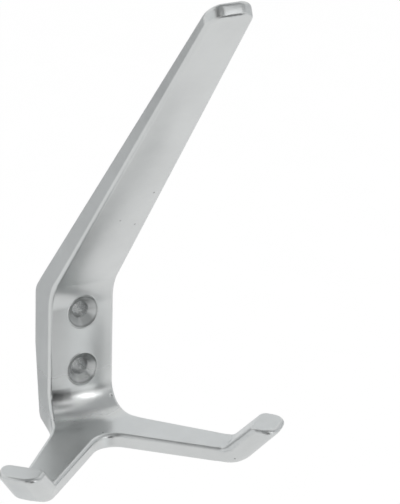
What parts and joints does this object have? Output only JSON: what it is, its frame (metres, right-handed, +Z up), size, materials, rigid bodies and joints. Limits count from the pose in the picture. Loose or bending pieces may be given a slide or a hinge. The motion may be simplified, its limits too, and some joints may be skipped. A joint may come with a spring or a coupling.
{
  "type": "double coat hook",
  "caption": "Cast coat hook for a wall: crowned upright with countersunk screw holes, a long arm leaning out, and a fork of short level arms with upturned padded tips.",
  "frame": {"origin": "on the wall face, midway between the two screw holes", "axes": "+Y into the wall, -Y out towards the room, +Z up along the upright, X across it"},
  "size_m": [0.0906, 0.1001, 0.1601],
  "materials": {
    "cast_aluminium": "satin"
  },
  "bodies": {
    "root": {"hook_body": "cast_aluminium"}
  },
  "joints": []
}
